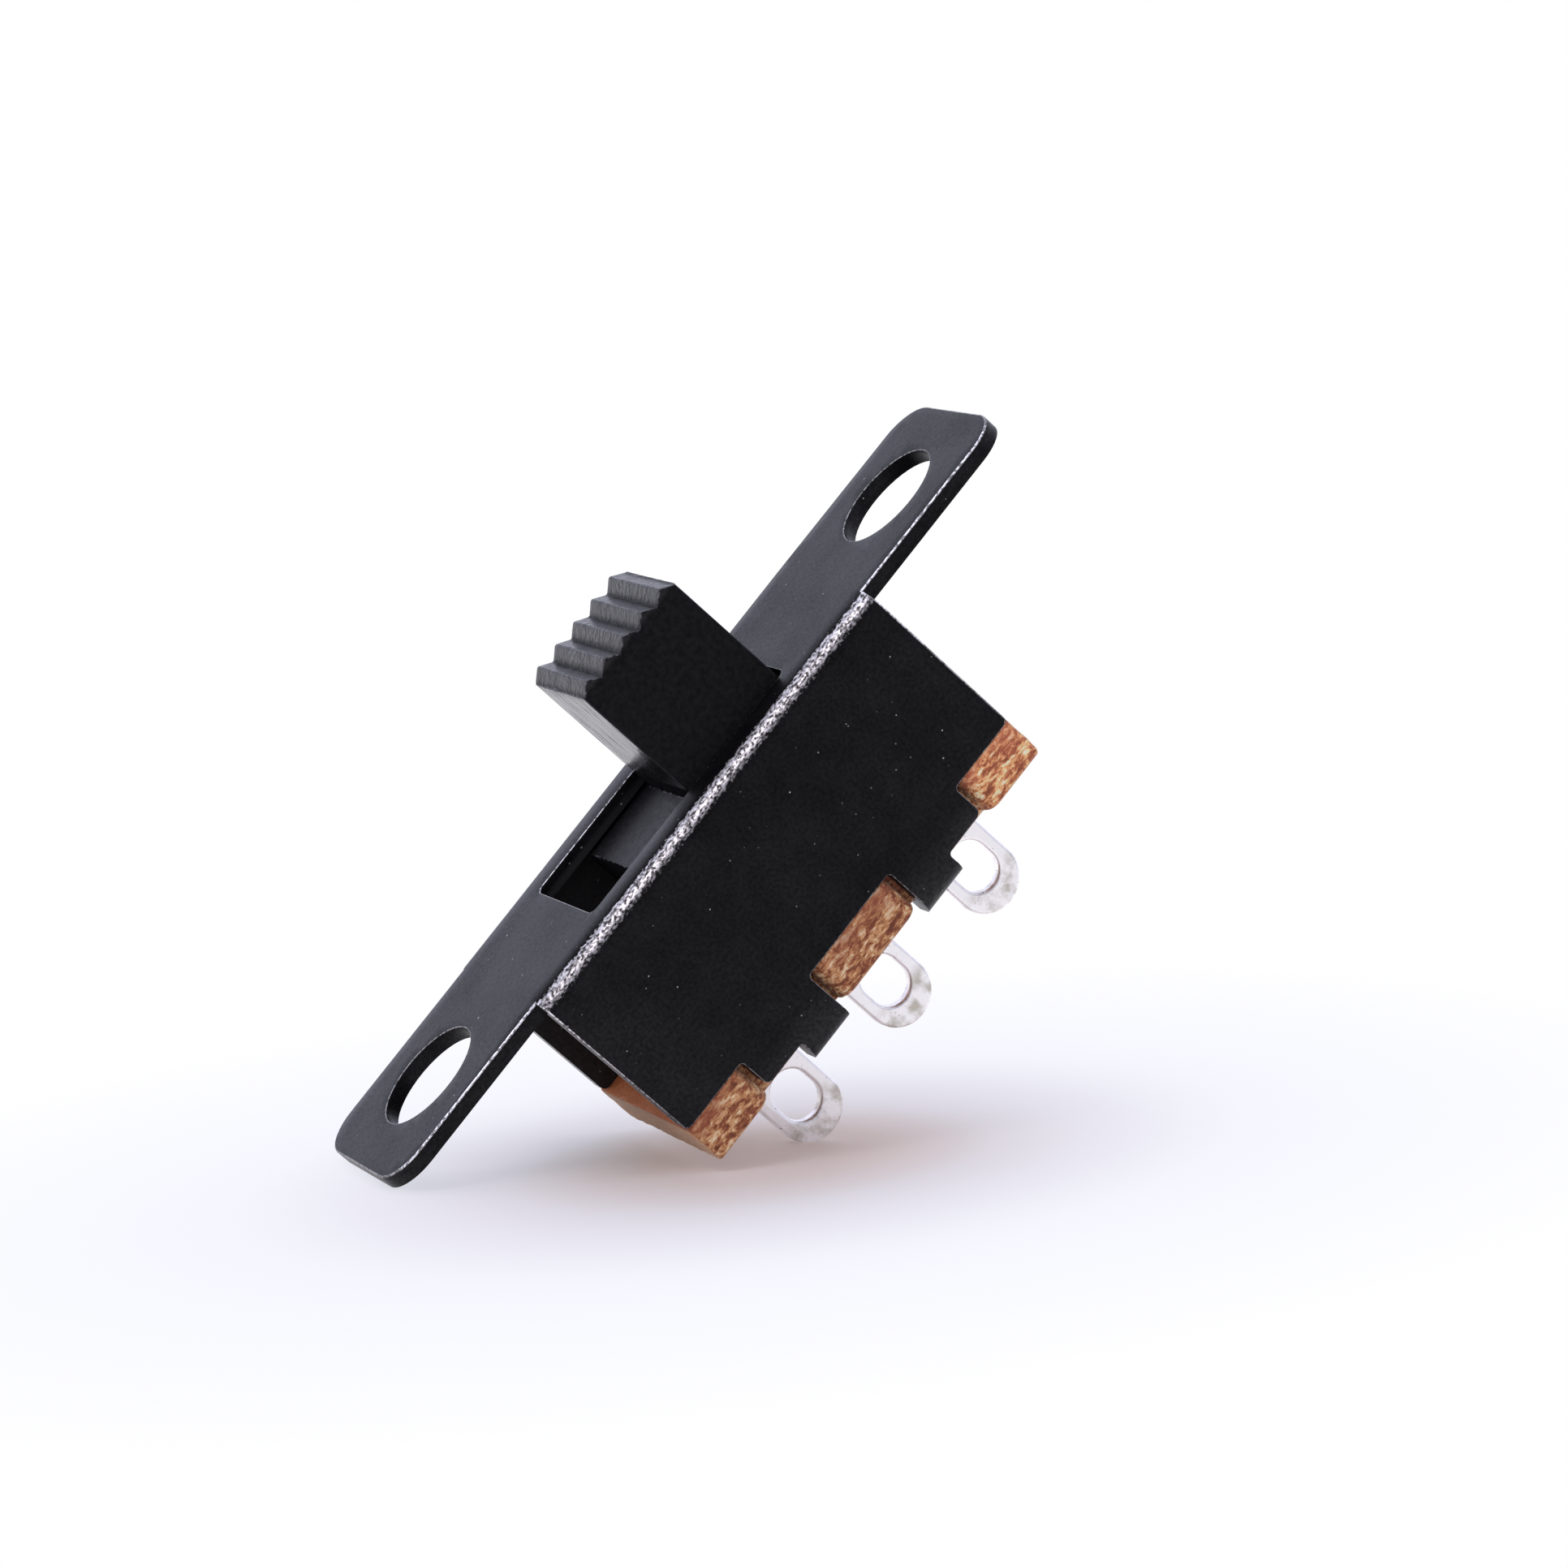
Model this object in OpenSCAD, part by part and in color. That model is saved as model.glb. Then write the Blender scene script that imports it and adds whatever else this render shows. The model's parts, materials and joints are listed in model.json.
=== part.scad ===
// Panel-mount slide switch with two positions and three solder lugs.
// The origin is the centre of the plate's outer face. X runs along the switch, Z out of the panel.
// Everything is in millimetres.

/* [Face plate] */
// Overall length over both ears
plate_l = 19.5; // [18.6:0.1:24]
// Width of the ears
ear_w = 4.3; // [3.6:0.1:4.3]
// Corner radius of the ears
ear_corner_r = 0.85; // [0.3:0.05:1.5]
// Thickness of the steel sheet
sheet_t = 0.35; // [0.25:0.01:0.4]
// Distance between the two screw holes
hole_pitch = 15; // [14.4:0.1:16]
// Diameter of the screw holes
hole_d = 2.4; // [1.8:0.1:2.6]

/* [Channel] */
// Length of the folded side walls
body_l = 10.5; // [10.3:0.1:11.5]
// Width over the side walls
body_w = 4.95; // [4.7:0.05:6]
// Inner radius of every fold
fold_r = 0.05; // [0.03:0.01:0.1]
// Depth from the plate's outer face to the top of the board
board_depth = 4.12; // [3.8:0.02:5]
// Height of the crimp tab that stays short of the board's lower face
tab_short = 0.78; // [0.5:0.02:0.9]
// Half length of the notch in the middle of each wall
notch_mid = 1.32; // [1:0.02:1.6]
// Distance from the middle to the step of the tab
tab_step = 2.42; // [2.2:0.02:2.8]
// Distance from the middle to the outer edge of the tab
tab_end = 3.5; // [3.2:0.05:4]
// Width of the crimp folded under the board
crimp_w = 0.5; // [0.2:0.05:0.9]
// Radius of the outer corners of walls, tabs and crimps
tab_corner_r = 0.16; // [0.04:0.01:0.2]
// Radius of the inner corners of the notches
notch_corner_r = 0.1; // [0.04:0.01:0.2]

/* [Slot] */
// Length of the slot in the plate
slot_l = 6.2; // [6.1:0.05:7]
// Width of the slot in the plate
slot_w = 3.14; // [3:0.02:3.4]
// Corner radius of the slot
slot_corner_r = 0.2; // [0.1:0.05:0.4]

/* [Slider] */
// Length of the knob along the slot
knob_l = 2.96; // [2.6:0.02:3]
// Width of the knob across the slot
knob_w = 2.85; // [2.4:0.05:2.9]
// Height of the knob above the plate
knob_h = 3.07; // [2:0.05:5]
// Number of ridges on the knob
ridges = 5; // [3:1:6]
// Plain strip left at each end of the ridges
knob_land = 0.02; // [0:0.01:0.1]
// Depth of the grooves between the ridges, before their tips and floors are rounded
ridge_depth = 0.21; // [0.18:0.01:0.3]
// Radius of the ridges' tips
ridge_tip_r = 0.07; // [0.04:0.01:0.1]
// Radius of the grooves' floors
groove_r = 0.05; // [0.03:0.01:0.08]
// Radius of the knob's upright edges
knob_edge_r = 0.08; // [0.04:0.02:0.3]
// Travel of the slider between its two positions
travel = 3; // [2.6:0.05:3.1]
// Length of the carriage under the plate
carriage_l = 6.6; // [6.4:0.1:7]
// Clearance between the carriage and the channel at each side
carriage_gap = 0.1; // [0.05:0.01:0.15]
// Clearance above and below the carriage
carriage_lift = 0.08; // [0.05:0.01:0.15]
// Bevel along the carriage's upper edges
carriage_bevel = 0.28; // [0.1:0.02:0.4]

/* [Board] */
// Length of the board
board_l = 10.56; // [10.4:0.02:11.5]
// Thickness of the board
board_t = 1; // [0.95:0.05:1.6]
// Radius where a projection of the board steps back behind a tab
board_step_r = 0.35; // [0.1:0.05:0.36]
// Corner radius of the board
board_corner_r = 0.12; // [0.04:0.02:0.3]

/* [Terminals] */
// Distance between neighbouring terminals
lug_pitch = 3; // [2.9:0.05:3.1]
// Width of the solder lugs
lug_w = 1.5; // [1.3:0.05:1.6]
// Thickness of the terminal strip
lug_t = 0.3; // [0.2:0.05:0.4]
// Length of the lugs below the board
lug_l = 2.58; // [2.2:0.05:4]
// Width of the eye in the lug
eye_w = 0.92; // [0.6:0.02:0.96]
// Length of the eye
eye_l = 1.2; // [1:0.05:1.5]
// Material below the eye
eye_foot = 0.55; // [0.3:0.05:0.7]
// Width of the contact blade above the board
blade_w = 2; // [1.8:0.05:2.2]
// Height of the contact blade above the board
blade_h = 2.3; // [1.8:0.05:2.4]
// Bevel on the blade's upper corners
blade_bevel = 0.25; // [0.1:0.05:0.4]

/* [Contact clip] */
// Length of the moving contact
clip_l = 3; // [2.6:0.05:3.2]
// Thickness of the spring sheet
clip_t = 0.15; // [0.1:0.01:0.2]
// Running clearance between the clip's contact lines and the blade
clip_gap = 0.04; // [0.02:0.01:0.08]
// Distance between the blade and the clip's legs above the contact lines
clip_bow = 0.22; // [0.16:0.02:0.3]
// Clearance between the top of the blade and the clip
clip_head = 0.2; // [0.15:0.05:0.3]
// Clearance between the tips of the clip and the board
clip_tip = 0.5; // [0.3:0.05:0.8]
// Width of the slit that makes two fingers of each leg
clip_slit = 0.3; // [0.1:0.05:0.6]
// Clearance at each side of the blades in the carriage
blade_room = 0.25; // [0.15:0.05:0.35]

/* [Hidden] */
$fn = 48;
past = 0.5;                                   // how far a cutting solid stands past what it cuts

// Frame: the folds, the walls and the crimps
fold_outer_r = fold_r + sheet_t;
wall_y = body_w / 2;                          // outer face of a side wall
wall_inner_y = wall_y - sheet_t;
board_top = -board_depth;
board_bottom = board_top - board_t;
tab_bottom = board_top - tab_short;
crimp_start_y = wall_inner_y - fold_r;        // where a crimp's fold ends and its flat begins
crimp_fold_z = board_bottom + fold_r;         // centre of that fold

// Slider: it rests at the +X end of its travel
knob_x = travel / 2;
ridge_pitch = (knob_l - 2 * knob_land) / ridges;
ridge_slope = atan(2 * ridge_depth / ridge_pitch);   // angle of a ridge's flanks
groove_z = knob_h + ridge_tip_r * (1 / cos(ridge_slope) - 1) - ridge_depth;
carriage_top = -sheet_t - carriage_lift;
carriage_bottom = board_top + carriage_lift;
carriage_w = body_w - 2 * sheet_t - 2 * carriage_gap;

// Contact clip: an upside-down U over the blades, pinched at the contact lines
blade_top = board_top + blade_h;
clip_leg_y = lug_t / 2 + clip_bow;            // inner face of the straight part of a leg
clip_touch_y = lug_t / 2 + clip_gap;          // inner face of a leg at the contact lines
clip_w = 2 * (clip_leg_y + clip_t);
clip_under = blade_top + clip_head;           // lower face of the clip's web
clip_top = clip_under + clip_t;
clip_knee_z = clip_under - clip_bow;          // where a leg starts to lean inwards
clip_tip_z = board_top + clip_tip;
clip_touch_z = clip_tip_z + clip_bow;
blade_way = lug_t + 2 * blade_room;           // width of the passage for the blades

// A rectangle with round corners, about the origin
module rounded_rect(l, w, r) {
    square([l - 2 * r, w], center = true);
    square([l, w - 2 * r], center = true);
    for (sx = [-1, 1], sy = [-1, 1])
        translate([sx * (l / 2 - r), sy * (w / 2 - r)]) circle(r);
}

// What fills an inside corner at the origin of the first quadrant so that it is round
module inside_corner(r) {
    difference() {
        square(r);
        translate([r, r]) circle(r);
    }
}

// Stands a drawing made in X and Z up, with its thickness centred on Y = 0
module upright(thickness) {
    rotate([90, 0, 0]) linear_extrude(thickness, center = true) children();
}

// Runs a section drawn in Y and Z along X, centred on X = 0
module run_along_x(length) {
    rotate([90, 0, 90]) linear_extrude(length, center = true) children();
}

// A quarter of the folded sheet's section, in the first quadrant about the fold's centre
module fold_section() {
    intersection() {
        difference() {
            circle(fold_outer_r);
            circle(fold_r);
        }
        square(fold_outer_r);
    }
}

// Outline of a side wall in X and Z, with its tabs
module wall_outline() {
    difference() {
        translate([-body_l / 2, board_top]) square([body_l, -fold_outer_r - board_top]);
        for (end = [0, 1]) mirror([end, 0])
            translate([body_l / 2, board_top]) mirror([1, 0]) inside_corner(tab_corner_r);
    }
    for (end = [0, 1]) mirror([end, 0]) {
        difference() {
            translate([notch_mid, tab_bottom]) square([tab_end - notch_mid, tab_short]);
            translate([tab_end, tab_bottom]) mirror([1, 0]) inside_corner(tab_corner_r);
        }
        translate([notch_mid, crimp_fold_z]) square([tab_step - notch_mid, tab_bottom - crimp_fold_z]);
        translate([tab_end, board_top]) mirror([0, 1]) inside_corner(notch_corner_r);
        translate([notch_mid, board_top]) mirror([0, 1]) mirror([1, 0]) inside_corner(notch_corner_r);
        translate([tab_step, tab_bottom]) mirror([0, 1]) inside_corner(notch_corner_r);
    }
}

// The end of a tab that is folded under the board
module crimp() {
    crimp_l = tab_step - notch_mid;
    translate([notch_mid + crimp_l / 2, crimp_start_y, 0]) {
        translate([0, 0, crimp_fold_z]) mirror([0, 0, 1]) run_along_x(crimp_l) fold_section();
        translate([0, 0, board_bottom - sheet_t / 2])
            linear_extrude(sheet_t, center = true)
                intersection() {
                    rounded_rect(crimp_l, 2 * crimp_w, tab_corner_r);
                    translate([0, -crimp_w / 2]) square([crimp_l, crimp_w], center = true);
                }
    }
}

module side_wall() {
    translate([0, wall_y - sheet_t / 2, 0]) upright(sheet_t) wall_outline();
    translate([0, wall_y - fold_outer_r, -fold_outer_r]) run_along_x(body_l) fold_section();
    for (end = [0, 1]) mirror([end, 0, 0]) crimp();
}

module frame() {
    color("#4c4b52") {
        difference() {
            translate([0, 0, -sheet_t]) linear_extrude(sheet_t) {
                rounded_rect(plate_l, ear_w, ear_corner_r);
                square([body_l, body_w - 2 * fold_outer_r], center = true);
            }
            translate([0, 0, -sheet_t - past]) linear_extrude(sheet_t + 2 * past) {
                rounded_rect(slot_l, slot_w, slot_corner_r);
                for (sx = [-1, 1]) translate([sx * hole_pitch / 2, 0]) circle(d = hole_d);
            }
        }
        for (side = [0, 1]) mirror([0, side, 0]) side_wall();
    }
}

// Outline of the board: it steps back behind the tabs and fills the notches
module board_outline() {
    end_in = tab_end + notch_corner_r;
    mid_l = 2 * (notch_mid - notch_corner_r);
    rounded_rect(board_l, 2 * crimp_start_y, board_corner_r);
    rounded_rect(mid_l, body_w, board_step_r);
    for (sx = [-1, 1])
        translate([sx * (board_l / 2 + end_in) / 2, 0]) {
            rounded_rect(board_l / 2 - end_in, body_w, board_step_r);
            translate([sx * board_step_r / 2, 0])
                rounded_rect(board_l / 2 - end_in - board_step_r, body_w, board_corner_r);
        }
}

module base_board() {
    color("#a5673f")
        difference() {
            translate([0, 0, board_bottom]) linear_extrude(board_t) board_outline();
            for (i = [-1:1])
                translate([i * lug_pitch, 0, board_bottom + board_t / 2])
                    cube([lug_w, lug_t, board_t + 2 * past], center = true);
        }
}

// A terminal about X = 0: blade above the board, lug with its eye below
module terminal() {
    lug_end = board_bottom - lug_l;
    eye_low = lug_end + eye_foot + eye_w / 2;
    color("#c9c8cb")
        upright(lug_t)
            difference() {
                union() {
                    translate([-lug_w / 2, lug_end + lug_w / 2])
                        square([lug_w, board_top - lug_end - lug_w / 2]);
                    translate([0, lug_end + lug_w / 2]) circle(d = lug_w);
                    polygon([[-blade_w / 2, board_top], [blade_w / 2, board_top],
                             [blade_w / 2, blade_top - blade_bevel], [blade_w / 2 - blade_bevel, blade_top],
                             [blade_bevel - blade_w / 2, blade_top], [-blade_w / 2, blade_top - blade_bevel]]);
                }
                translate([0, eye_low]) circle(d = eye_w);
                translate([0, eye_low + eye_l - eye_w]) circle(d = eye_w);
                translate([-eye_w / 2, eye_low]) square([eye_w, eye_l - eye_w]);
            }
}

module terminal_left() { translate([-lug_pitch, 0, 0]) terminal(); }
module terminal_common() { terminal(); }
module terminal_right() { translate([lug_pitch, 0, 0]) terminal(); }

// One ridge in X and Z, centred on X = 0, with a round tip and straight flanks
module ridge() {
    tip_z = knob_h - ridge_tip_r;
    tip_x = ridge_tip_r * sin(ridge_slope);
    polygon([[-ridge_pitch / 2, groove_z], [ridge_pitch / 2, groove_z],
             [tip_x, tip_z + ridge_tip_r * cos(ridge_slope)],
             [-tip_x, tip_z + ridge_tip_r * cos(ridge_slope)]]);
    translate([0, tip_z]) circle(ridge_tip_r);
}

// What rounds the floor of the groove between two ridges
module groove_floor() {
    side_x = groove_r * sin(ridge_slope);
    middle_z = groove_r / cos(ridge_slope);
    difference() {
        polygon([[0, 0], [side_x, middle_z - groove_r * cos(ridge_slope)],
                 [-side_x, middle_z - groove_r * cos(ridge_slope)]]);
        translate([0, middle_z]) circle(groove_r);
    }
}

// Side view of the knob, with its ridges, in X and Z
module knob_outline() {
    translate([-knob_l / 2, carriage_top - past]) square([knob_l, groove_z - carriage_top + past]);
    for (i = [1:ridges])
        translate([(i - (ridges + 1) / 2) * ridge_pitch, 0]) ridge();
    for (i = [1:ridges - 1])
        translate([(i - ridges / 2) * ridge_pitch, groove_z]) groove_floor();
}

module knob() {
    intersection() {
        upright(knob_w) knob_outline();
        translate([0, 0, carriage_top - past])
            linear_extrude(knob_h - carriage_top + 2 * past) rounded_rect(knob_l, knob_w, knob_edge_r);
    }
}

// Section of the carriage in Y and Z
module carriage_section() {
    half = carriage_w / 2;
    polygon([[-half, carriage_bottom], [half, carriage_bottom],
             [half, carriage_top - carriage_bevel], [half - carriage_bevel, carriage_top],
             [carriage_bevel - half, carriage_top], [-half, carriage_top - carriage_bevel]]);
}

module slider() {
    color("#2a2a2e")
        translate([knob_x, 0, 0]) {
            knob();
            difference() {
                run_along_x(carriage_l) carriage_section();
                pocket(carriage_l + 2 * past, blade_way);
                pocket(clip_l, clip_w);
            }
        }
}

// A hollow that is open at the bottom of the carriage and as high as the clip
module pocket(l, w) {
    translate([-l / 2, -w / 2, carriage_bottom - past])
        cube([l, w, clip_top - carriage_bottom + past]);
}

// Section of the clip in Y and Z. Each leg is straight, pinched to the contact line, flared at the tip
module clip_section() {
    inner = [[clip_leg_y, clip_under], [clip_leg_y, clip_knee_z],
             [clip_touch_y, clip_touch_z], [clip_leg_y, clip_tip_z]];
    outer = [for (i = [len(inner) - 1:-1:1]) inner[i] + [clip_t, 0]];
    half = concat(inner, outer, [[clip_w / 2, clip_top]]);
    polygon(concat(half, [for (i = [len(half) - 1:-1:0]) [-half[i][0], half[i][1]]]));
}

module contact_clip() {
    color("#c89b5a")
        translate([knob_x, 0, 0])
            difference() {
                run_along_x(clip_l) clip_section();
                translate([-clip_slit / 2, -clip_w / 2 - past, clip_tip_z - past])
                    cube([clip_slit, clip_w + 2 * past, clip_knee_z - clip_tip_z + past]);
            }
}

frame();
base_board();
terminal_left();
terminal_common();
terminal_right();
slider();
contact_clip();
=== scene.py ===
"""Builds the looks of a panel-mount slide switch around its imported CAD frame."""

import functools
import json
import math

import bmesh
import bpy
from mathutils import Matrix, Vector

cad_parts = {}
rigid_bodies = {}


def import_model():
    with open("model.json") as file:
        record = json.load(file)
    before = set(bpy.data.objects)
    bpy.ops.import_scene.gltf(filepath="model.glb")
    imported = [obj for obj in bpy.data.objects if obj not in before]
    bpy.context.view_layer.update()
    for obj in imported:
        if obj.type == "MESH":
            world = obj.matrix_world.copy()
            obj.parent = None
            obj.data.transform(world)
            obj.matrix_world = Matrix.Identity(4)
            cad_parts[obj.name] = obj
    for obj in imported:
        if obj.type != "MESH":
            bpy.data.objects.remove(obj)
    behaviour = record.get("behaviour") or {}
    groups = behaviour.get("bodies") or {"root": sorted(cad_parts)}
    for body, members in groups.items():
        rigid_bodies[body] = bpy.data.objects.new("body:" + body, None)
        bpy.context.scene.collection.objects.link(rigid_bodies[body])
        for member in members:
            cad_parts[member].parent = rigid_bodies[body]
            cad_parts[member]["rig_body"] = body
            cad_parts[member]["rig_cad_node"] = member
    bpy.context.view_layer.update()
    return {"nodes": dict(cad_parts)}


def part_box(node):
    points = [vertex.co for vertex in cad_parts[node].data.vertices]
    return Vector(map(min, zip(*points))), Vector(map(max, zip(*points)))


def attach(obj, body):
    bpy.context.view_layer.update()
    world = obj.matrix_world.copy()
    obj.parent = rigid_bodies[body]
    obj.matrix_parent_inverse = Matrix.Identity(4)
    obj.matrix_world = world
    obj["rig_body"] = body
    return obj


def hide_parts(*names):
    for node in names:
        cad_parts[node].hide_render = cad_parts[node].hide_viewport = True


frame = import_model()

bl_info = {
    "name": "Slide switch looks",
    "version": (1, 0, 0),
    "blender": (4, 5, 0),
    "location": "3D View > Sidebar > Slide switch",
    "description": "Dresses the CAD parts of a panel-mount slide switch",
    "category": "Object",
}

MM = 0.001
SHEET = 0.35 * MM  # thickness of the steel sheet
WALL_END = 5.25 * MM  # where the folds and the side walls end, to both sides of the middle
PAST_INNER_FACE = 2.16 * MM  # just outside the walls' inner faces, to both sides of the middle
FOLD_FOOT = -0.4 * MM  # height at which the folds have become walls
OPENING_HALF = 1.6 * MM  # no opening in the plate reaches further from its middle line
KNOB_HALF = 1.5 * MM  # just past the knob's ends and sides, from its middle


# Small helpers


def linear(code):
    """Turns an sRGB hex colour into the linear RGBA that the shaders take."""
    parts = [int(code[i : i + 2], 16) / 255 for i in (1, 3, 5)]
    return [c / 12.92 if c <= 0.04045 else ((c + 0.055) / 1.055) ** 2.4 for c in parts] + [1.0]


def add_node(tree, kind, inputs=None, **settings):
    """Adds a node with its settings, and links or sets its inputs.

    A node given as a value stands for its first output in use. Inputs that share a name go by
    number: 0 and 1 of Math and Vector Math, 0 of Mix for the share with 2 and 3 for values or
    6 and 7 for colours, and 0 of Mix Shader for the share with 1 and 2 for the shaders.
    """
    node = tree.nodes.new(kind)
    for name, value in settings.items():
        setattr(node, name, value)
    for name, value in (inputs or {}).items():
        if isinstance(value, bpy.types.Node):
            value = next(socket for socket in value.outputs if socket.enabled)
        if isinstance(value, bpy.types.NodeSocket):
            tree.links.new(value, node.inputs[name])
        else:
            node.inputs[name].default_value = value
    return node


def new_material(name):
    """An empty node material, with add_node for its tree."""
    material = bpy.data.materials.new(name)
    material.use_nodes = True
    material.node_tree.nodes.clear()
    return material, functools.partial(add_node, material.node_tree)


def per_mm(size):
    """The texture scale that makes one cell of a pattern this many millimetres wide."""
    return 1 / (size * MM)


def deselect():
    """Leaves nothing selected, in Object Mode."""
    if bpy.context.mode != "OBJECT":
        bpy.ops.object.mode_set(mode="OBJECT")
    bpy.ops.object.select_all(action="DESELECT")


def copy_of(node, name, *materials):
    """A merged copy of a CAD node with its flat faces made whole, ready to be shaped."""
    deselect()
    source = frame["nodes"][node]
    source.select_set(True)
    bpy.context.view_layer.objects.active = source
    bpy.ops.object.duplicate()
    piece = bpy.context.view_layer.objects.active
    bpy.ops.object.parent_clear(type="CLEAR_KEEP_TRANSFORM")
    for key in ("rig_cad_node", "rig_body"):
        del piece[key]
    piece.name = name
    piece.data.name = name
    piece.data.materials.clear()
    for material in materials:
        piece.data.materials.append(material)
    if piece.data.has_custom_normals:
        bpy.ops.mesh.customdata_custom_splitnormals_clear()
    bpy.ops.object.mode_set(mode="EDIT")
    bpy.ops.mesh.select_all(action="SELECT")
    bpy.ops.mesh.remove_doubles(threshold=0.0008 * MM)
    bpy.ops.mesh.dissolve_limited(angle_limit=math.radians(0.5))
    bpy.ops.object.mode_set(mode="OBJECT")
    return piece


def apply_modifiers(piece):
    """Applies every modifier on the piece, in order."""
    deselect()
    piece.select_set(True)
    bpy.context.view_layer.objects.active = piece
    for modifier in list(piece.modifiers):
        bpy.ops.object.modifier_apply(modifier=modifier.name)


def everywhere(place):
    """Gives every edge its full rounding."""
    return 1.0


def round_edges(piece, width, segments=3, finish=-1, share=everywhere):
    """Rounds each edge that turns by more than 35 degrees, to its share of the width."""
    mesh = bmesh.new()
    mesh.from_mesh(piece.data)
    weight = mesh.edges.layers.float.new("bevel_weight_edge")
    for edge in mesh.edges:
        if edge.calc_face_angle(0) > math.radians(35):
            edge[weight] = share((edge.verts[0].co + edge.verts[1].co) / 2)
    mesh.to_mesh(piece.data)
    mesh.free()
    bevel = piece.modifiers.new("rounded edges", "BEVEL")
    bevel.width = width
    bevel.segments = segments
    bevel.limit_method = "WEIGHT"
    bevel.use_clamp_overlap = False
    bevel.material = finish
    apply_modifiers(piece)


def divide(piece, low, high, cells):
    """Cuts the piece by planes a cell apart between two corners, to roughen or shade evenly."""
    deselect()
    piece.select_set(True)
    bpy.context.view_layer.objects.active = piece
    bpy.ops.object.mode_set(mode="EDIT")
    for axis, cell in enumerate(cells):
        count = math.floor((high[axis] - low[axis]) / cell)
        normal = [0, 0, 0]
        normal[axis] = 1
        for step in range(1, count):
            point = list(low)
            point[axis] += (high[axis] - low[axis]) * step / count
            bpy.ops.mesh.select_all(action="SELECT")
            bpy.ops.mesh.bisect(plane_co=point, plane_no=normal)
    bpy.ops.object.mode_set(mode="OBJECT")


def roughen(piece, chosen, lump, depth):
    """Sinks the chosen corners of the mesh unevenly, in lumps of one size."""
    group = piece.vertex_groups.new(name="rough")
    group.add(sorted(chosen), 1.0, "REPLACE")
    texture = bpy.data.textures.new("lumps", "CLOUDS")
    texture.noise_scale = lump
    texture.noise_depth = 3
    sink = piece.modifiers.new("uneven", "DISPLACE")
    sink.texture = texture
    sink.texture_coords = "LOCAL"
    sink.vertex_group = "rough"
    sink.mid_level = 0.85
    sink.strength = depth
    apply_modifiers(piece)


def smooth(piece, angle=32):
    """Shades the piece smooth over the curves, with flat faces kept flat."""
    deselect()
    piece.select_set(True)
    bpy.context.view_layer.objects.active = piece
    bpy.ops.object.shade_smooth_by_angle(angle=math.radians(angle))
    weighted = piece.modifiers.new("flat faces first", "WEIGHTED_NORMAL")
    weighted.keep_sharp = True
    weighted.weight = 100
    apply_modifiers(piece)


def finish_piece(piece, slot, body, *nodes):
    """Gives the piece its body and hides the CAD nodes that it stands for. Its slot is not used."""
    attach(piece, body)
    if nodes:
        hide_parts(*nodes)


# Materials


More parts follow.
